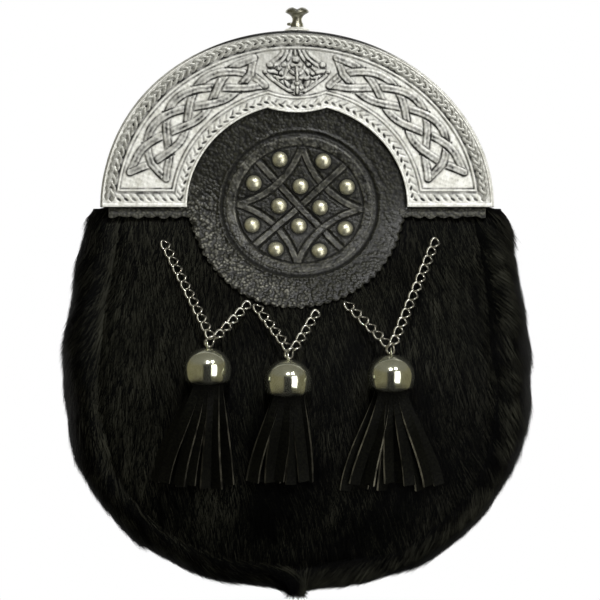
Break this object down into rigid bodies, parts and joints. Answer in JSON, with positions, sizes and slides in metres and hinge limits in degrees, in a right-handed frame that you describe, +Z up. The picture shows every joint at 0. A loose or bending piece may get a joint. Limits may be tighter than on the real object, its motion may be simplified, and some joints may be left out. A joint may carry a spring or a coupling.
{
  "type": "sporran pouch",
  "caption": "Dress sporran: hair-on hide pouch with a tooled, studded leather flap, a cast knotwork cantle, and leather tassels in metal bells hung on link chains.",
  "frame": {"origin": "on the rear face of the back panel, on the centre line, level with the cantle's feet and midway between the belt loops", "axes": "+X to the viewer's right as the sporran is worn, +Y out of its back towards the wearer, +Z up"},
  "size_m": [0.1914, 0.0685, 0.2384],
  "materials": {
    "hair_hide": "short glossy black hair",
    "back_leather": "smooth black",
    "tooled_leather": "tooled and grained black",
    "strip_leather": "smooth black with raw cut edges",
    "cantle_metal": "polished casting with darkened hollows",
    "stud_nickel": "polished nickel",
    "chain_steel": "bright plated wire",
    "bell_chrome": "mirror bright"
  },
  "bodies": {
    "root": {"front_panel": "hair_hide", "gusset": "hair_hide", "back_panel": "back_leather", "flap": "tooled_leather", "stud_01": "stud_nickel", "stud_02": "stud_nickel", "stud_03": "stud_nickel", "stud_04": "stud_nickel", "stud_05": "stud_nickel", "stud_06": "stud_nickel", "stud_07": "stud_nickel", "stud_08": "stud_nickel", "stud_09": "stud_nickel", "stud_10": "stud_nickel", "stud_11": "stud_nickel", "stud_12": "stud_nickel", "cantle": "cantle_metal", "knob": "cantle_metal", "chain_left": "chain_steel", "chain_middle": "chain_steel", "chain_right": "chain_steel", "bell_left": "bell_chrome", "bell_middle": "bell_chrome", "bell_right": "bell_chrome", "tassel_left": "strip_leather", "tassel_middle": "strip_leather", "tassel_right": "strip_leather", "belt_loop_left": "back_leather", "belt_loop_right": "back_leather"}
  },
  "joints": []
}
